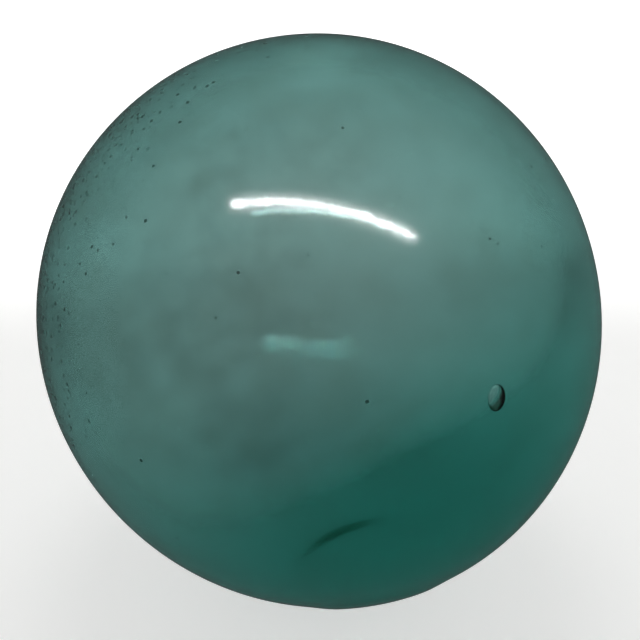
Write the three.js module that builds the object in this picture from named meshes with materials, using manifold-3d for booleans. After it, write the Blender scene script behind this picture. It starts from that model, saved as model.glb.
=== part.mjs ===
// A blown-glass fishing float: a sealed ball with a seal button low on its side,
// lying on a small flat spot. Millimetres, +Z up, origin under the middle of the
// ball's box, on the surface that it lies on. The cavity is sealed, so the solid
// is whole.
import * as THREE from 'three';
import { mergeVertices } from 'three/addons/utils/BufferGeometryUtils.js';
import Module from 'manifold-3d';

// the ball, about its blowing axis
const meanRadius = 50;
const oval = 0.013; // share by which the ball is longer along the axis
const egg = 0.005; // share by which the seal's end is the narrower one
const blowingAxis = leaning(60, -63);

// the seal button, a drop of glass pressed over the blowpipe's hole, a little off the axis
const sealRadius = 10;
const sealProud = 0.3;
const sealEdge = 6; // width of the rounded step around the button
const sealDirection = leaning(41.5, -72);

// the flat spot that the ball lies on
const flatRadius = 7;

// facets
const facetsAround = 84;
const ringsOnBall = 40;
const ringsOnEdge = 6;

const glassColour = 0x5f877d;

// A direction that leans from straight down towards a heading from +X, both in degrees.
function leaning(lean, heading) {
  const fromDown = THREE.MathUtils.degToRad(lean);
  const fromX = THREE.MathUtils.degToRad(heading);
  return new THREE.Vector3(
    Math.sin(fromDown) * Math.cos(fromX),
    Math.sin(fromDown) * Math.sin(fromX),
    -Math.cos(fromDown),
  );
}

// Height of the button above the ball at an angle from the seal's middle.
function sealHeight(angle) {
  const reach = angle * meanRadius;
  const outer = sealRadius + sealEdge / 2;
  return sealProud * (1 - THREE.MathUtils.smoothstep(reach, outer - sealEdge, outer));
}

// Distance from the middle of the ball to its skin in a direction.
function skinRadius(direction) {
  const turn = direction.angleTo(blowingAxis);
  const ball = meanRadius * (1 + oval * Math.cos(2 * turn) + egg * Math.cos(3 * turn));
  return ball + sealHeight(direction.angleTo(sealDirection));
}

// Ring angles from the seal to the far side, closer together over the button's edge.
function ringAngles() {
  const edgeStart = (sealRadius - sealEdge / 2) / meanRadius;
  const edgeEnd = (sealRadius + sealEdge / 2) / meanRadius;
  const step = Math.PI / ringsOnBall;
  const angles = [0];
  for (let angle = step; angle < edgeStart - step / 2; angle += step) {
    angles.push(angle);
  }
  for (let i = 0; i <= ringsOnEdge; i++) {
    angles.push(THREE.MathUtils.lerp(edgeStart, edgeEnd, i / ringsOnEdge));
  }
  const ringsLeft = Math.round((Math.PI - edgeEnd) / step);
  for (let i = 1; i <= ringsLeft; i++) {
    angles.push(THREE.MathUtils.lerp(edgeEnd, Math.PI, i / ringsLeft));
  }
  return angles;
}

// A half circle to turn about Y, from the seal to the far side.
function outlinePoint(angle) {
  const onAxis = angle === 0 || angle === Math.PI;
  return new THREE.Vector2(onAxis ? 0 : Math.sin(angle), -Math.cos(angle));
}

function blownBall() {
  const ball = new THREE.LatheGeometry(ringAngles().map(outlinePoint), facetsAround);
  ball.applyQuaternion(new THREE.Quaternion().setFromUnitVectors(new THREE.Vector3(0, -1, 0), sealDirection));
  const places = ball.attributes.position;
  const place = new THREE.Vector3();
  for (let i = 0; i < places.count; i++) {
    place.fromBufferAttribute(places, i).normalize();
    place.multiplyScalar(skinRadius(place));
    places.setXYZ(i, place.x, place.y, place.z);
  }
  return ball;
}

// Puts the ball's box over the origin, with the flat spot at height zero.
function setDown(ball) {
  ball.computeBoundingBox();
  const middle = ball.boundingBox.getCenter(new THREE.Vector3());
  const flatDepth = meanRadius - Math.sqrt(meanRadius ** 2 - flatRadius ** 2);
  ball.translate(-middle.x, -middle.y, -ball.boundingBox.min.z - flatDepth);
  return ball;
}

// Everything under height zero, as one block.
function blockBelow() {
  const side = meanRadius * 3;
  return new THREE.BoxGeometry(side, side, side).translate(0, 0, -side / 2);
}

function toSolid(wasm, geometry) {
  const bare = geometry.clone();
  bare.deleteAttribute('normal');
  bare.deleteAttribute('uv');
  const merged = mergeVertices(bare, 1e-4);
  return new wasm.Manifold(new wasm.Mesh({
    numProp: 3,
    vertProperties: new Float32Array(merged.attributes.position.array),
    triVerts: new Uint32Array(merged.index.array),
  }));
}

function toGeometry(solid) {
  const mesh = solid.getMesh();
  const geometry = new THREE.BufferGeometry();
  geometry.setAttribute('position', new THREE.BufferAttribute(mesh.vertProperties, 3));
  geometry.setIndex(new THREE.BufferAttribute(mesh.triVerts, 1));
  geometry.computeVertexNormals();
  return geometry;
}

async function floatGeometry() {
  const wasm = await Module();
  wasm.setup();
  const ball = toSolid(wasm, setDown(blownBall()));
  const below = toSolid(wasm, blockBelow());
  return toGeometry(ball.subtract(below));
}

const glass = new THREE.MeshStandardMaterial({ color: glassColour, roughness: 0.22, metalness: 0 });
const glassFloat = new THREE.Mesh(await floatGeometry(), glass);
glassFloat.name = 'glass_float';

const group = new THREE.Group();
group.add(glassFloat);

export default group;
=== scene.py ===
# a sealed ball of blown glass from a fishing net, its skin matted by sand and sea
import bpy
import math
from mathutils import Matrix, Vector


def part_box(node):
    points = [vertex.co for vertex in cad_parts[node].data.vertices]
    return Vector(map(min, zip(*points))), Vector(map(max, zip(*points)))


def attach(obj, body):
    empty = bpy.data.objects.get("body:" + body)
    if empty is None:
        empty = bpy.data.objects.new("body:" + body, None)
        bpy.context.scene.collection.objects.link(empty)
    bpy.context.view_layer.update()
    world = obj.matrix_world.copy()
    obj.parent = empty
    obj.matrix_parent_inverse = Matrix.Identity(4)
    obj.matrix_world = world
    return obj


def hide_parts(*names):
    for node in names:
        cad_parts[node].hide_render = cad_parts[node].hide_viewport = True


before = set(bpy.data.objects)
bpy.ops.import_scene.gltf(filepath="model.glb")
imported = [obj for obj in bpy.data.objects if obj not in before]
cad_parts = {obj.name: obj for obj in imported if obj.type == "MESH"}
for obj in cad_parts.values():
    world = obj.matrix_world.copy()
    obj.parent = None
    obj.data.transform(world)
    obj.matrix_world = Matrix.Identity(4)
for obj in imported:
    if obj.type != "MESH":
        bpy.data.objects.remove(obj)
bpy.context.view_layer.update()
boxLow, boxHigh = (Vector(corner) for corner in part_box("glass_float"))
print("frame loaded")


def linearColour(hexCode):
    # sRGB hex to the linear values that shaders work in
    channels = [int(hexCode[i:i + 2], 16) / 255 for i in (1, 3, 5)]
    linear = [c / 12.92 if c <= 0.04045 else ((c + 0.055) / 1.055) ** 2.4 for c in channels]
    return (*linear, 1.0)


def addNode(tree, kind, sockets=None, **settings):
    # a node with its settings, and a value or a link for each socket named
    node = tree.nodes.new(kind)
    for name, value in settings.items():
        setattr(node, name, value)
    for key, value in (sockets or {}).items():
        if isinstance(value, bpy.types.NodeSocket):
            tree.links.new(value, node.inputs[key])
        else:
            node.inputs[key].default_value = value
    return node


# the ball's form, about its blowing axis, which runs from the crown to the thick glass low on it
# lengths are in metres
ballForm = {
    "oval": 0.013,           # share by which it is longer along the axis
    "egg": 0.005,            # share by which the low end is the narrower
    "axisLean": 60,          # degrees from straight down
    "axisHeading": -63,      # degrees from +X towards +Y
    "sealLean": 41.5,        # the seal button sits beside the thick glass, not at its middle
    "sealHeading": -72,
    "sealRadius": 0.010,
    "sealProud": 0.0003,
    "sealEdge": 0.006,
    "flatSoftness": 0.0002,
    "crownWall": 0.0046,     # at the top end of the axis
    "sealWall": 0.014,       # at its low end, where the axis and not the seal sets the thick glass
    "wallSwell": 5.5,        # how tightly the thick glass gathers there
    "thinSide": (0.015, -0.754, 0.656),   # where the bubble was blown thinner
    "thinDepth": 0.0016,
    "thinSwell": 15.0,
    "wallWave": 0.0003,      # the rest of the wall's unevenness
    "waveSize": 0.034,
    "fineness": 7,
    "rubbedSide": (-0.76, 0.58, 0.29),   # the side that lay against sand, and is pitted
    "mattedSide": (-0.25, -0.10, 0.96),  # the side turned to blown sand, and is dulled
    "scrapedSide": (-0.86, -0.20, -0.47),
    "rubbedSpan": (0.30, 0.95),          # how squarely the skin faces a side where its wear
    "mattedSpan": (0.45, 0.75),          # starts, and where it is full: 0 is across, 1 is square on
    "scrapedSpan": (0.6, 0.9),
    "blisterSide": (0.556, -0.812, 0.185),
    "blisterSize": (0.0034, 0.0044, 0.0009),
    "blisterDepth": 0.0015,
    "blisterFineness": 5,
    "seedCount": 90,
    "seedSize": 0.00045,
    "seedDepth": 0.0022,
    "leastSeed": 0.35,       # the smallest seed, as a share of the largest
    "seedFineness": 2,
    "seedPlaceDraw": 4,      # fixed seeds for the random draws
    "seedSizeDraw": 7,
}


def leaning(lean, heading):
    # a direction leaning from straight down towards a heading, both in degrees
    lean, heading = math.radians(lean), math.radians(heading)
    out = math.sin(lean)
    return Vector((out * math.cos(heading), out * math.sin(heading), -math.cos(lean)))


blowingAxis = leaning(ballForm["axisLean"], ballForm["axisHeading"])
sealDirection = leaning(ballForm["sealLean"], ballForm["sealHeading"])


def unitSkin(direction):
    # distance from the middle to the skin of a ball with a mean radius of one
    c = direction.dot(blowingAxis)
    return 1 + ballForm["oval"] * (2 * c * c - 1) + ballForm["egg"] * (4 * c ** 3 - 3 * c)


def unitReach(axis, side, steps=180, arc=15):
    # how far that ball reaches along an axis, found along the great circle through its own axis
    target = Vector([side if i == axis else 0 for i in range(3)])
    across = (blowingAxis - blowingAxis.dot(target) * target).normalized()
    best = 0
    for i in range(-steps, steps + 1):
        turn = math.radians(arc) * i / steps
        direction = target * math.cos(turn) + across * math.sin(turn)
        best = max(best, unitSkin(direction) * math.cos(turn))
    return best


ballSize = boxHigh - boxLow
meanRadius = ballSize.x / (unitReach(0, 1) + unitReach(0, -1))
ballMiddle = Vector((
    boxHigh.x - meanRadius * unitReach(0, 1),
    boxHigh.y - meanRadius * unitReach(1, 1),
    boxHigh.z - meanRadius * unitReach(2, 1),
))
print("ball worked out: mean radius", round(meanRadius * 1000, 2), "mm")


glassLook = {
    "skinTint": "#939393",   # what the worn skin lets through
    "hazeTint": "#8B8886",   # the same where it is dulled most
    "siltAndShadeTint": "#10211D",   # grey-green silt in pits and scrapes, with painted shade: the dark that pits show where they scatter light away
    "bodyColour": "#45E6DE",
    "bodyDensity": 100,
    "clearRoughness": 0.05,
    "mattedRoughness": 0.13,
    "siltRoughness": 0.35,
    "refraction": 1.52,
    "grainSize": 0.00028,    # frosting is finer than this: it is drawn coarser so that it shows
    "grainDepth": 0.000004,
    "pitGap": 0.0010,        # struck pits lie closer than this: drawn coarser so that they show
    "pitFade": (0.12, 0.5),  # where a pit starts to fade and ends, in gaps
    "pitChance": 0.9,
    "patchSize": 0.007,      # pits gather in patches
    "patchRange": (0.35, 0.65),
    "patchChance": (0.25, 1.0),
    "filmSiltAndShadeShare": 0.3,        # silt and painted shade between the pits, beside that in them
    "speckGap": 0.0085,
    "speckRadius": 0.0004,
    "speckCore": 0.6,        # share of a lone pit that is fully dark
    "scrapeLength": 0.009,
    "scrapeWidth": 0.0006,
    "scrapeFade": (0.1, 0.45),
    "scrapeChance": 0.5,
    "scrapeSiltAndShade": 0.7,
    "scrapeRun": (0.50, -0.43, -0.75),
    "hazeSize": 0.012,
    "hazeRange": (0.4, 0.7),
}


def seaWornGlass():
    # soda glass, blown, then dulled and pitted by sand: see-through teal with a soft bloom
    glass = bpy.data.materials.new("seaWornSodaGlass")
    glass.use_nodes = True
    tree = glass.node_tree
    tree.nodes.clear()
    place = addNode(tree, "ShaderNodeTexCoord").outputs["Object"]
    skin = addNode(tree, "ShaderNodeAttribute", attribute_name="seaWorn").outputs["Fac"]
    rubbed = addNode(tree, "ShaderNodeAttribute", attribute_name="rubbed").outputs["Fac"]
    matted = addNode(tree, "ShaderNodeAttribute", attribute_name="matted").outputs["Fac"]
    scraped = addNode(tree, "ShaderNodeAttribute", attribute_name="scraped").outputs["Fac"]

    # pits that sand has struck, crowded on the rubbed side and gathered in patches
    patches = addNode(tree, "ShaderNodeTexNoise", {
        "Vector": place, "Scale": 1 / glassLook["patchSize"], "Detail": 2.0}).outputs["Fac"]
    patchy = addNode(tree, "ShaderNodeMapRange", {
        "Value": patches,
        "From Min": glassLook["patchRange"][0], "From Max": glassLook["patchRange"][1],
        "To Min": glassLook["patchChance"][0], "To Max": glassLook["patchChance"][1]}).outputs["Result"]
    chance = addNode(tree, "ShaderNodeMath", {0: rubbed, 1: patchy}, operation="MULTIPLY").outputs[0]
    chance = addNode(tree, "ShaderNodeMath", {0: chance, 1: glassLook["pitChance"]},
                     operation="MULTIPLY").outputs[0]
    cells = addNode(tree, "ShaderNodeTexVoronoi", {"Vector": place, "Scale": 1 / glassLook["pitGap"]})
    draw = addNode(tree, "ShaderNodeSeparateColor", {"Color": cells.outputs["Color"]}).outputs["Red"]
    struck = addNode(tree, "ShaderNodeMath", {0: draw, 1: chance}, operation="LESS_THAN").outputs[0]
    spot = addNode(tree, "ShaderNodeMapRange", {
        "Value": cells.outputs["Distance"],
        "From Min": glassLook["pitFade"][0], "From Max": glassLook["pitFade"][1],
        "To Min": 1.0, "To Max": 0.0},
        interpolation_type="SMOOTHSTEP").outputs["Result"]
    pit = addNode(tree, "ShaderNodeMath", {0: struck, 1: spot}, operation="MULTIPLY").outputs[0]

    # a few deeper lone pits all over
    speckShare = glassLook["speckRadius"] / glassLook["speckGap"]
    lone = addNode(tree, "ShaderNodeTexVoronoi", {
        "Vector": place, "Scale": 1 / glassLook["speckGap"]}).outputs["Distance"]
    speck = addNode(tree, "ShaderNodeMapRange", {
        "Value": lone, "From Min": speckShare * glassLook["speckCore"], "From Max": speckShare,
        "To Min": 1.0, "To Max": 0.0},
        interpolation_type="SMOOTHSTEP").outputs["Result"]

    # scrapes, all one way
    turn = Vector(glassLook["scrapeRun"]).to_track_quat("X", "Z").inverted().to_euler()
    along = addNode(tree, "ShaderNodeMapping", {"Vector": place, "Rotation": turn}).outputs["Vector"]
    drawn = addNode(tree, "ShaderNodeVectorMath", {0: along, 1: (
        1 / glassLook["scrapeLength"], 1 / glassLook["scrapeWidth"], 1 / glassLook["scrapeWidth"])},
        operation="MULTIPLY").outputs["Vector"]
    strokes = addNode(tree, "ShaderNodeTexVoronoi", {"Vector": drawn, "Scale": 1.0})
    strokeDraw = addNode(tree, "ShaderNodeSeparateColor", {"Color": strokes.outputs["Color"]}).outputs["Red"]
    strokeChance = addNode(tree, "ShaderNodeMath", {0: scraped, 1: glassLook["scrapeChance"]},
                           operation="MULTIPLY").outputs[0]
    cut = addNode(tree, "ShaderNodeMath", {0: strokeDraw, 1: strokeChance},
                  operation="LESS_THAN").outputs[0]
    # scrapes take the silt colour, which is partly painted shade
    stroke = addNode(tree, "ShaderNodeMapRange", {
        "Value": strokes.outputs["Distance"],
        "From Min": glassLook["scrapeFade"][0], "From Max": glassLook["scrapeFade"][1],
        "To Min": glassLook["scrapeSiltAndShade"], "To Max": 0.0},
        interpolation_type="SMOOTHSTEP").outputs["Result"]
    scrape = addNode(tree, "ShaderNodeMath", {0: cut, 1: stroke}, operation="MULTIPLY").outputs[0]

    # silt and painted shade in pits, scrapes and lone pits, with a thin film between them, on the outer skin
    # alone
    filmSiltAndShade = addNode(tree, "ShaderNodeMath", {0: chance, 1: glassLook["filmSiltAndShadeShare"]},
                   operation="MULTIPLY").outputs[0]
    siltAndShade = addNode(tree, "ShaderNodeMath", {0: pit, 1: scrape}, operation="MAXIMUM").outputs[0]
    siltAndShade = addNode(tree, "ShaderNodeMath", {0: siltAndShade, 1: filmSiltAndShade}, operation="MAXIMUM").outputs[0]
    siltAndShade = addNode(tree, "ShaderNodeMath", {0: siltAndShade, 1: speck}, operation="MAXIMUM").outputs[0]
    siltAndShade = addNode(tree, "ShaderNodeMath", {0: siltAndShade, 1: skin}, operation="MULTIPLY").outputs[0]

    # dulled glass is rougher, and a fine grain breaks up its shine
    dull = addNode(tree, "ShaderNodeMapRange", {
        "Value": matted, "To Min": glassLook["clearRoughness"],
        "To Max": glassLook["mattedRoughness"]}).outputs["Result"]
    dull = addNode(tree, "ShaderNodeMath", {0: dull, 1: skin}, operation="MULTIPLY").outputs[0]
    rough = addNode(tree, "ShaderNodeMath", {0: siltAndShade, 1: glassLook["siltRoughness"], 2: dull},
                    operation="MULTIPLY_ADD").outputs[0]
    grain = addNode(tree, "ShaderNodeTexNoise", {
        "Vector": place, "Scale": 1 / glassLook["grainSize"], "Detail": 1.0}).outputs["Fac"]
    grain = addNode(tree, "ShaderNodeMath", {0: grain, 1: matted}, operation="MULTIPLY").outputs[0]
    bump = addNode(tree, "ShaderNodeBump", {
        "Strength": 1.0, "Distance": glassLook["grainDepth"], "Height": grain})

    # the skin holds back light evenly, more where it is dulled, and most where silt and painted shade darken
    # it
    haze = addNode(tree, "ShaderNodeTexNoise", {
        "Vector": place, "Scale": 1 / glassLook["hazeSize"], "Detail": 3.0}).outputs["Fac"]
    hazy = addNode(tree, "ShaderNodeMapRange", {
        "Value": haze, "From Min": glassLook["hazeRange"][0],
        "From Max": glassLook["hazeRange"][1]}).outputs["Result"]
    tint = addNode(tree, "ShaderNodeMix", {
        "Factor": hazy, 6: linearColour(glassLook["skinTint"]), 7: linearColour(glassLook["hazeTint"])},
        data_type="RGBA").outputs[2]
    tint = addNode(tree, "ShaderNodeMix", {"Factor": skin, 6: linearColour("#FFFFFF"), 7: tint},
                   data_type="RGBA").outputs[2]
    # painted shade: pits, scrapes and lone pits are darkened in colour for the light they scatter away,
    # beside their real silt
    tint = addNode(tree, "ShaderNodeMix", {"Factor": siltAndShade, 6: tint, 7: linearColour(glassLook["siltAndShadeTint"])},
                   data_type="RGBA").outputs[2]

    shader = addNode(tree, "ShaderNodeBsdfPrincipled", {
        "Base Color": tint,
        "Roughness": rough,
        "IOR": glassLook["refraction"],
        "Transmission Weight": 1.0,
        "Normal": bump.outputs["Normal"],
    })
    body = addNode(tree, "ShaderNodeVolumeAbsorption", {
        "Color": linearColour(glassLook["bodyColour"]), "Density": glassLook["bodyDensity"]})
    addNode(tree, "ShaderNodeOutputMaterial", {
        "Surface": shader.outputs["BSDF"], "Volume": body.outputs["Volume"]})
    return glass


def shellTree(glass):
    tree = bpy.data.node_groups.new("blownShell", "GeometryNodeTree")
    face = tree.interface
    for kind, names in (
        ("Float", ("Mean Radius", "Oval", "Egg")),
        ("Vector", ("Middle", "Blowing Axis", "Seal Direction")),
        ("Float", ("Seal Radius", "Seal Proud", "Seal Edge", "Flat Softness", "Crown Wall", "Seal Wall",
                   "Wall Swell", "Wall Wave", "Wave Size")),
        ("Vector", ("Thin Side",)),
        ("Float", ("Thin Depth", "Thin Swell")),
        ("Int", ("Fineness",)),
        ("Material", ("Glass",)),
        ("Vector", ("Rubbed Side", "Matted Side", "Scraped Side", "Blister Place")),
        ("Rotation", ("Blister Turn",)),
        ("Vector", ("Blister Size",)),
        ("Int", ("Seed Count",)),
        ("Float", ("Seed Size", "Seed Depth")),
    ):
        for name in names:
            face.new_socket(name=name, in_out="INPUT", socket_type="NodeSocket" + kind)
    face.new_socket(name="Geometry", in_out="OUTPUT", socket_type="NodeSocketGeometry")
    given = addNode(tree, "NodeGroupInput").outputs

    sphere = addNode(tree, "GeometryNodeMeshIcoSphere", {"Radius": 1.0, "Subdivisions": given["Fineness"]})
    place = addNode(tree, "GeometryNodeInputPosition").outputs["Position"]
    outward = addNode(tree, "ShaderNodeVectorMath", {0: place}, operation="NORMALIZE").outputs["Vector"]
    along = addNode(tree, "ShaderNodeVectorMath", {0: outward, 1: given["Blowing Axis"]},
                    operation="DOT_PRODUCT").outputs["Value"]

    # skin: 1 - oval + along * (-3 egg + along * (2 oval + along * 4 egg))
    fourEgg = addNode(tree, "ShaderNodeMath", {0: given["Egg"], 1: 4.0}, operation="MULTIPLY").outputs[0]
    threeEgg = addNode(tree, "ShaderNodeMath", {0: given["Egg"], 1: -3.0}, operation="MULTIPLY").outputs[0]
    twoOval = addNode(tree, "ShaderNodeMath", {0: given["Oval"], 1: 2.0}, operation="MULTIPLY").outputs[0]
    lessOval = addNode(tree, "ShaderNodeMath", {0: 1.0, 1: given["Oval"]}, operation="SUBTRACT").outputs[0]
    cubic = addNode(tree, "ShaderNodeMath", {0: along, 1: fourEgg, 2: twoOval},
                    operation="MULTIPLY_ADD").outputs[0]
    square = addNode(tree, "ShaderNodeMath", {0: along, 1: cubic, 2: threeEgg},
                     operation="MULTIPLY_ADD").outputs[0]
    share = addNode(tree, "ShaderNodeMath", {0: along, 1: square, 2: lessOval},
                    operation="MULTIPLY_ADD").outputs[0]
    radius = addNode(tree, "ShaderNodeMath", {0: share, 1: given["Mean Radius"]},
                     operation="MULTIPLY").outputs[0]

    # the seal button, a low step with a rounded edge
    towardsSeal = addNode(tree, "ShaderNodeVectorMath", {0: outward, 1: given["Seal Direction"]},
                          operation="DOT_PRODUCT").outputs["Value"]
    angle = addNode(tree, "ShaderNodeMath", {0: towardsSeal}, operation="ARCCOSINE").outputs[0]
    reach = addNode(tree, "ShaderNodeMath", {0: angle, 1: given["Mean Radius"]},
                    operation="MULTIPLY").outputs[0]
    halfEdge = addNode(tree, "ShaderNodeMath", {0: given["Seal Edge"], 1: 0.5},
                       operation="MULTIPLY").outputs[0]
    edgeIn = addNode(tree, "ShaderNodeMath", {0: given["Seal Radius"], 1: halfEdge},
                     operation="SUBTRACT").outputs[0]
    edgeOut = addNode(tree, "ShaderNodeMath", {0: given["Seal Radius"], 1: halfEdge},
                      operation="ADD").outputs[0]
    button = addNode(tree, "ShaderNodeMapRange", {
        "Value": reach, "From Min": edgeIn, "From Max": edgeOut,
        "To Min": given["Seal Proud"], "To Max": 0.0},
        interpolation_type="SMOOTHSTEP").outputs["Result"]
    outerRadius = addNode(tree, "ShaderNodeMath", {0: radius, 1: button}, operation="ADD").outputs[0]

    # outer skin, with its flat spot on the ground
    outerPlace = addNode(tree, "ShaderNodeVectorMath", {0: outward, "Scale": outerRadius},
                         operation="SCALE").outputs["Vector"]
    outerSet = addNode(tree, "ShaderNodeVectorMath", {0: outerPlace, 1: given["Middle"]},
                       operation="ADD").outputs["Vector"]
    parts = addNode(tree, "ShaderNodeSeparateXYZ", {0: outerSet})
    height = addNode(tree, "ShaderNodeMath", {0: parts.outputs["Z"], 1: 0.0, 2: given["Flat Softness"]},
                     operation="SMOOTH_MAX").outputs[0]
    onGround = addNode(tree, "ShaderNodeCombineXYZ", {
        0: parts.outputs["X"], 1: parts.outputs["Y"], 2: height}).outputs[0]
    outer = addNode(tree, "GeometryNodeSetPosition", {
        "Geometry": sphere.outputs["Mesh"], "Position": onGround}).outputs[0]
    outer = addNode(tree, "GeometryNodeStoreNamedAttribute", {
        "Geometry": outer, "Name": "seaWorn", "Value": 1.0},
                    data_type="FLOAT", domain="POINT").outputs[0]
    for name, side in (("rubbed", "Rubbed Side"), ("matted", "Matted Side"), ("scraped", "Scraped Side")):
        begins, full = ballForm[name + "Span"]
        facing = addNode(tree, "ShaderNodeVectorMath", {0: outward, 1: given[side]},
                         operation="DOT_PRODUCT").outputs["Value"]
        amount = addNode(tree, "ShaderNodeMapRange", {"Value": facing, "From Min": begins, "From Max": full},
                         interpolation_type="SMOOTHSTEP").outputs["Result"]
        outer = addNode(tree, "GeometryNodeStoreNamedAttribute", {
            "Geometry": outer, "Name": name, "Value": amount},
                        data_type="FLOAT", domain="POINT").outputs[0]

    # cavity: the wall is thin at the crown, thick at the low end of the axis, and uneven
    lifted = addNode(tree, "ShaderNodeMath", {0: along, 1: 0.5, 2: 0.5},
                     operation="MULTIPLY_ADD").outputs[0]
    gathered = addNode(tree, "ShaderNodeMath", {0: lifted, 1: given["Wall Swell"]},
                       operation="POWER").outputs[0]
    wall = addNode(tree, "ShaderNodeMapRange", {
        "Value": gathered, "To Min": given["Crown Wall"], "To Max": given["Seal Wall"]}).outputs["Result"]
    facing = addNode(tree, "ShaderNodeVectorMath", {0: outward, 1: given["Thin Side"]},
                     operation="DOT_PRODUCT").outputs["Value"]
    lifted = addNode(tree, "ShaderNodeMath", {0: facing, 1: 0.5, 2: 0.5},
                     operation="MULTIPLY_ADD").outputs[0]
    spread = addNode(tree, "ShaderNodeMath", {0: lifted, 1: given["Thin Swell"]},
                     operation="POWER").outputs[0]
    less = addNode(tree, "ShaderNodeMath", {0: spread, 1: given["Thin Depth"]},
                   operation="MULTIPLY").outputs[0]
    wall = addNode(tree, "ShaderNodeMath", {0: wall, 1: less}, operation="SUBTRACT").outputs[0]
    waveCount = addNode(tree, "ShaderNodeMath", {0: given["Mean Radius"], 1: given["Wave Size"]},
                        operation="DIVIDE").outputs[0]
    wave = addNode(tree, "ShaderNodeTexNoise", {
        "Vector": outward, "Scale": waveCount, "Detail": 1.0}).outputs["Fac"]
    centred = addNode(tree, "ShaderNodeMath", {0: wave, 1: 0.5}, operation="SUBTRACT").outputs[0]
    uneven = addNode(tree, "ShaderNodeMath", {0: centred, 1: given["Wall Wave"], 2: wall},
                     operation="MULTIPLY_ADD").outputs[0]
    innerRadius = addNode(tree, "ShaderNodeMath", {0: radius, 1: uneven}, operation="SUBTRACT").outputs[0]
    innerPlace = addNode(tree, "ShaderNodeVectorMath", {0: outward, "Scale": innerRadius},
                         operation="SCALE").outputs["Vector"]
    innerSet = addNode(tree, "ShaderNodeVectorMath", {0: innerPlace, 1: given["Middle"]},
                       operation="ADD").outputs["Vector"]
    inner = addNode(tree, "GeometryNodeSetPosition", {
        "Geometry": sphere.outputs["Mesh"], "Position": innerSet}).outputs[0]
    inner = addNode(tree, "GeometryNodeFlipFaces", {"Mesh": inner}).outputs[0]
    inner = addNode(tree, "GeometryNodeStoreNamedAttribute", {
        "Geometry": inner, "Name": "seaWorn", "Value": 0.0},
                    data_type="FLOAT", domain="POINT").outputs[0]

    # air in the wall: a blister, and seeds strewn at random
    bubble = addNode(tree, "GeometryNodeMeshIcoSphere", {
        "Radius": 0.5, "Subdivisions": ballForm["blisterFineness"]}).outputs["Mesh"]
    blister = addNode(tree, "GeometryNodeTransform", {
        "Geometry": bubble, "Translation": given["Blister Place"], "Rotation": given["Blister Turn"],
        "Scale": given["Blister Size"]}).outputs[0]
    nearSkin = addNode(tree, "ShaderNodeMath", {0: given["Mean Radius"], 1: given["Seed Depth"]},
                       operation="SUBTRACT").outputs[0]
    strewn = addNode(tree, "GeometryNodePoints", {
        "Count": given["Seed Count"],
        "Position": addNode(tree, "FunctionNodeRandomValue", {
            "Min": (-1.0, -1.0, -1.0), "Max": (1.0, 1.0, 1.0), "Seed": ballForm["seedPlaceDraw"]},
            data_type="FLOAT_VECTOR").outputs["Value"],
    }).outputs[0]
    strewnPlace = addNode(tree, "ShaderNodeVectorMath", {0: place}, operation="NORMALIZE").outputs["Vector"]
    strewnPlace = addNode(tree, "ShaderNodeVectorMath", {0: strewnPlace, "Scale": nearSkin},
                          operation="SCALE").outputs["Vector"]
    strewnPlace = addNode(tree, "ShaderNodeVectorMath", {0: strewnPlace, 1: given["Middle"]},
                          operation="ADD").outputs["Vector"]
    strewn = addNode(tree, "GeometryNodeSetPosition", {
        "Geometry": strewn, "Position": strewnPlace}).outputs[0]
    share = addNode(tree, "FunctionNodeRandomValue", {
        2: ballForm["leastSeed"], 3: 1.0, "Seed": ballForm["seedSizeDraw"]}, data_type="FLOAT").outputs[1]
    size = addNode(tree, "ShaderNodeMath", {0: share, 1: given["Seed Size"]},
                   operation="MULTIPLY").outputs[0]
    seedShape = addNode(tree, "GeometryNodeMeshIcoSphere", {
        "Radius": 0.5, "Subdivisions": ballForm["seedFineness"]}).outputs["Mesh"]
    seeds = addNode(tree, "GeometryNodeInstanceOnPoints", {
        "Points": strewn, "Instance": seedShape, "Scale": size}).outputs[0]
    seeds = addNode(tree, "GeometryNodeRealizeInstances", {"Geometry": seeds}).outputs[0]
    air = addNode(tree, "GeometryNodeJoinGeometry")
    tree.links.new(seeds, air.inputs[0])
    tree.links.new(blister, air.inputs[0])
    air = addNode(tree, "GeometryNodeFlipFaces", {"Mesh": air.outputs[0]}).outputs[0]

    both = addNode(tree, "GeometryNodeJoinGeometry")
    tree.links.new(air, both.inputs[0])
    tree.links.new(inner, both.inputs[0])
    tree.links.new(outer, both.inputs[0])
    smooth = addNode(tree, "GeometryNodeSetShadeSmooth", {"Geometry": both.outputs[0]}).outputs[0]
    whole = addNode(tree, "GeometryNodeRealizeInstances", {"Geometry": smooth}).outputs[0]
    clad = addNode(tree, "GeometryNodeSetMaterial", {
        "Geometry": whole, "Material": given["Glass"]}).outputs[0]
    addNode(tree, "NodeGroupOutput", {"Geometry": clad})
    return tree


def bakeTree(name, tree, values):
    # runs a geometry tree with its named inputs and keeps the result as a plain mesh
    carrier = bpy.data.objects.new(name, bpy.data.meshes.new(name))
    bpy.context.collection.objects.link(carrier)
    modifier = carrier.modifiers.new(name, "NODES")
    modifier.node_group = tree
    for item in tree.interface.items_tree:
        if item.in_out == "INPUT":
            modifier[item.identifier] = values[item.name]
    evaluated = carrier.evaluated_get(bpy.context.evaluated_depsgraph_get())
    mesh = bpy.data.meshes.new_from_object(evaluated)
    carrier.modifiers.clear()
    finish = mesh.materials[-1]
    mesh.materials.clear()
    mesh.materials.append(finish)
    mesh.polygons.foreach_set("material_index", [0] * len(mesh.polygons))
    carrier.data = mesh
    mesh.name = name
    return carrier


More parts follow.
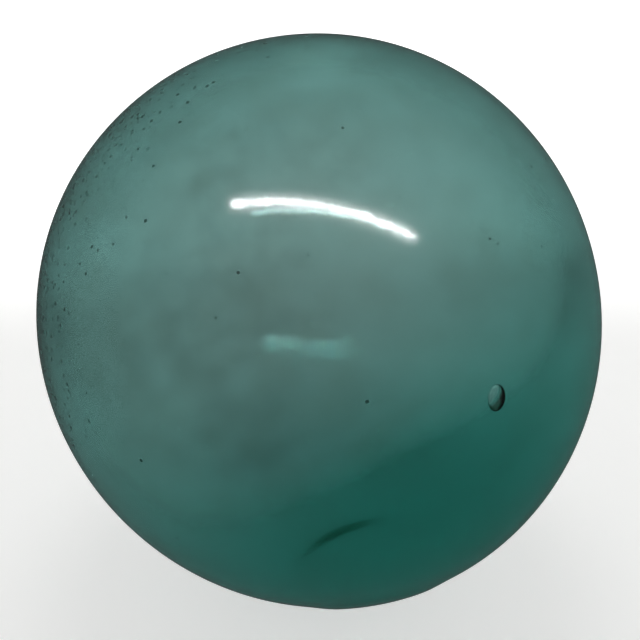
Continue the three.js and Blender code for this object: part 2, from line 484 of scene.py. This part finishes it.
glass = seaWornGlass()
blisterOut = Vector(ballForm["blisterSide"]).normalized()
ball = bakeTree("blownGlassBall", shellTree(glass), {
    "Mean Radius": meanRadius,
    "Oval": ballForm["oval"],
    "Egg": ballForm["egg"],
    "Middle": ballMiddle,
    "Blowing Axis": blowingAxis,
    "Seal Direction": sealDirection,
    "Seal Radius": ballForm["sealRadius"],
    "Seal Proud": ballForm["sealProud"],
    "Seal Edge": ballForm["sealEdge"],
    "Flat Softness": ballForm["flatSoftness"],
    "Crown Wall": ballForm["crownWall"],
    "Seal Wall": ballForm["sealWall"],
    "Wall Swell": ballForm["wallSwell"],
    "Thin Side": Vector(ballForm["thinSide"]).normalized(),
    "Thin Depth": ballForm["thinDepth"],
    "Thin Swell": ballForm["thinSwell"],
    "Wall Wave": ballForm["wallWave"],
    "Wave Size": ballForm["waveSize"],
    "Fineness": ballForm["fineness"],
    "Glass": glass,
    "Rubbed Side": Vector(ballForm["rubbedSide"]).normalized(),
    "Matted Side": Vector(ballForm["mattedSide"]).normalized(),
    "Scraped Side": Vector(ballForm["scrapedSide"]).normalized(),
    "Blister Place": ballMiddle + blisterOut * (meanRadius * unitSkin(blisterOut) - ballForm["blisterDepth"]),
    "Blister Turn": blisterOut.to_track_quat("Z", "Y").to_euler(),
    "Blister Size": ballForm["blisterSize"],
    "Seed Count": ballForm["seedCount"],
    "Seed Size": ballForm["seedSize"],
    "Seed Depth": ballForm["seedDepth"],
})
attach(ball, "root")
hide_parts("glass_float")
print("ball blown:", len(ball.data.polygons), "faces")

# the setting: a pale sweep with a painted glow, stronger behind the ball and weaker to the sides, soft light
# and a row of small lamps overhead
setting = {
    "floorColour": "#E9E9E7",
    "floorRoughness": 0.9,
    "floorReach": 0.8,
    "floorGap": 0.0002,      # keeps the floor clear of the flat spot
    "sweepRadius": 0.4,
    "sweepHeight": 1.0,
    "paintedFloorGlow": 0.52,            # painted light from the floor itself, which also lifts the ball's shadow
    "paintedBackLight": 0.38,        # painted pool of light: more of it behind the ball
    "backSpan": (0.07, 0.14),
    "paintedSideShade": 0.3,         # painted shade: less of it away to the sides
    "sideSpan": (0.08, 0.15),
    "roomColour": "#FFFFFF",
    "roomStrength": 0.06,
    "softSide": 0.35,
    "softPlace": (0.0, 0.25, 0.6),
    "softPower": 0.6,
    "lampCount": 26,
    "lampSize": 0.0014,
    "lampPower": 0.018,
    "rowMiddle": (0.12, -1.21, 2.70),   # in mean radii from the ball's middle
    "rowHalf": (1.55, -0.237, -0.071),
}


def opalSheetWithPaintedGlow():
    # opal acrylic, cast smooth: a matt white with a painted glow, stronger behind the ball and weaker to the
    # sides; no lamp lights it from below
    sheet = bpy.data.materials.new("opalAcrylicPaintedGlow")
    sheet.use_nodes = True
    tree = sheet.node_tree
    shader = tree.nodes["Principled BSDF"]
    place = addNode(tree, "ShaderNodeTexCoord").outputs["Object"]
    parts = addNode(tree, "ShaderNodeSeparateXYZ", {0: place})
    # painted light: the floor's glow is stronger behind the ball and weaker to the sides, a pool of light
    # painted on it
    behind = addNode(tree, "ShaderNodeMapRange", {
        "Value": parts.outputs["Y"], "From Min": setting["backSpan"][0], "From Max": setting["backSpan"][1],
        "To Min": setting["paintedFloorGlow"], "To Max": setting["paintedFloorGlow"] + setting["paintedBackLight"]},
        interpolation_type="SMOOTHSTEP")
    aside = addNode(tree, "ShaderNodeMath", {0: parts.outputs["X"]}, operation="ABSOLUTE").outputs[0]
    loss = addNode(tree, "ShaderNodeMapRange", {
        "Value": aside, "From Min": setting["sideSpan"][0], "From Max": setting["sideSpan"][1],
        "To Max": setting["paintedSideShade"]},
        interpolation_type="SMOOTHSTEP")
    paintedFloorGlow = addNode(tree, "ShaderNodeMath", {
        0: behind.outputs["Result"], 1: loss.outputs["Result"]}, operation="SUBTRACT")
    shader.inputs["Base Color"].default_value = linearColour(setting["floorColour"])
    shader.inputs["Roughness"].default_value = setting["floorRoughness"]
    shader.inputs["Emission Color"].default_value = linearColour("#FFFFFF")
    tree.links.new(paintedFloorGlow.outputs[0], shader.inputs["Emission Strength"])
    return sheet


def raiseSweep(spokes=96, floorRings=8, curveSteps=12):
    # a round floor whose rim turns up into a wall
    outline = [(setting["floorReach"] * i / floorRings, 0) for i in range(1, floorRings + 1)]
    for i in range(1, curveSteps + 1):
        turn = math.radians(90) * i / curveSteps
        outline.append((
            setting["floorReach"] + setting["sweepRadius"] * math.sin(turn),
            setting["sweepRadius"] * (1 - math.cos(turn)),
        ))
    outline.append((setting["floorReach"] + setting["sweepRadius"], setting["sweepHeight"]))
    points = [(0, 0, 0)]
    faces = []
    for reach, height in outline:
        for k in range(spokes):
            turn = 2 * math.pi * k / spokes
            points.append((reach * math.cos(turn), reach * math.sin(turn), height))
    for k in range(spokes):
        faces.append((0, 1 + k, 1 + (k + 1) % spokes))
        for ring in range(len(outline) - 1):
            near = 1 + ring * spokes
            far = near + spokes
            faces.append((near + k, far + k, far + (k + 1) % spokes, near + (k + 1) % spokes))
    mesh = bpy.data.meshes.new("paleSweep")
    mesh.from_pydata(points, [], faces)
    mesh.shade_smooth()
    mesh.materials.append(opalSheetWithPaintedGlow())
    sweep = bpy.data.objects.new("paleSweep", mesh)
    sweep.visible_glossy = False
    sweep.location.z = -setting["floorGap"]
    bpy.context.collection.objects.link(sweep)


def lightRoom():
    world = bpy.data.worlds.new("softRoom")
    world.use_nodes = True
    sky = world.node_tree.nodes["Background"]
    sky.inputs["Color"].default_value = linearColour(setting["roomColour"])
    sky.inputs["Strength"].default_value = setting["roomStrength"]
    bpy.context.scene.world = world


def hangSoftLight():
    light = bpy.data.lights.new("softPanel", "AREA")
    light.shape = "DISK"
    light.size = setting["softSide"]
    light.energy = setting["softPower"]
    panel = bpy.data.objects.new("softPanel", light)
    panel.location = ballMiddle + Vector(setting["softPlace"])
    panel.rotation_euler = (ballMiddle - panel.location).to_track_quat("-Z", "Y").to_euler()
    panel.visible_glossy = False
    panel.visible_transmission = False
    bpy.context.collection.objects.link(panel)


def hangLampRow():
    middle = ballMiddle + Vector(setting["rowMiddle"]) * meanRadius
    half = Vector(setting["rowHalf"]) * meanRadius
    for i in range(setting["lampCount"]):
        light = bpy.data.lights.new(f"rowLamp{i}", "POINT")
        light.energy = setting["lampPower"]
        light.shadow_soft_size = setting["lampSize"]
        lamp = bpy.data.objects.new(f"rowLamp{i}", light)
        lamp.location = middle + half * (2 * i / (setting["lampCount"] - 1) - 1)
        lamp.visible_diffuse = False
        bpy.context.collection.objects.link(lamp)


def setCamera():
    # degrees, and a distance in mean radii
    view = {"elevation": 30, "distance": 6.0, "angle": 21.45, "nearest": 0.01}
    camera = bpy.data.objects.new("camera", bpy.data.cameras.new("camera"))
    bpy.context.collection.objects.link(camera)
    rise = math.radians(view["elevation"])
    back = Vector((0, -math.cos(rise), math.sin(rise)))
    camera.location = ballMiddle + back * view["distance"] * meanRadius
    camera.rotation_euler = (math.radians(90) - rise, 0, 0)
    camera.data.angle = math.radians(view["angle"])
    camera.data.clip_start = view["nearest"]
    bpy.context.scene.camera = camera


raiseSweep()
lightRoom()
hangSoftLight()
hangLampRow()
setCamera()
bpy.context.scene.view_settings.view_transform = "Standard"
bpy.context.scene.cycles.sample_clamp_indirect = 0
print("setting ready")
